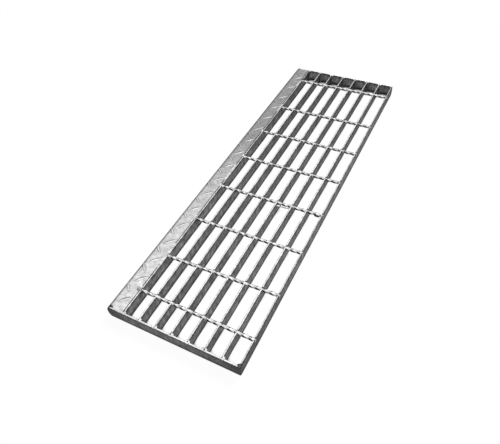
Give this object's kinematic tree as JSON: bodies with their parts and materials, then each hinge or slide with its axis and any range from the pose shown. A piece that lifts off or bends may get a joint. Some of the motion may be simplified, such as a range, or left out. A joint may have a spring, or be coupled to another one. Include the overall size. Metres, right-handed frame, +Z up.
{
  "type": "grating stair tread",
  "caption": "Galvanised steel grating stair tread: flat bearing bars with twisted cross rods, a rolled checker-plate nosing along the front and a flat plate across each end to weld to stringers",
  "frame": {"origin": "Centre of the tread's outline on its underside, so that z = 0 is the level it rests on", "axes": "+X along the tread's length, -Y towards the nosing, +Z up through the walking surface"},
  "size_m": [0.8, 0.246, 0.026],
  "materials": {
    "galvanised_steel": "hot-dip galvanised, dull grey zinc with faint mottling"
  },
  "bodies": {
    "root": {"grating_panel": "galvanised_steel", "nosing_plate": "galvanised_steel", "end_plate_left": "galvanised_steel", "end_plate_right": "galvanised_steel"}
  },
  "joints": []
}
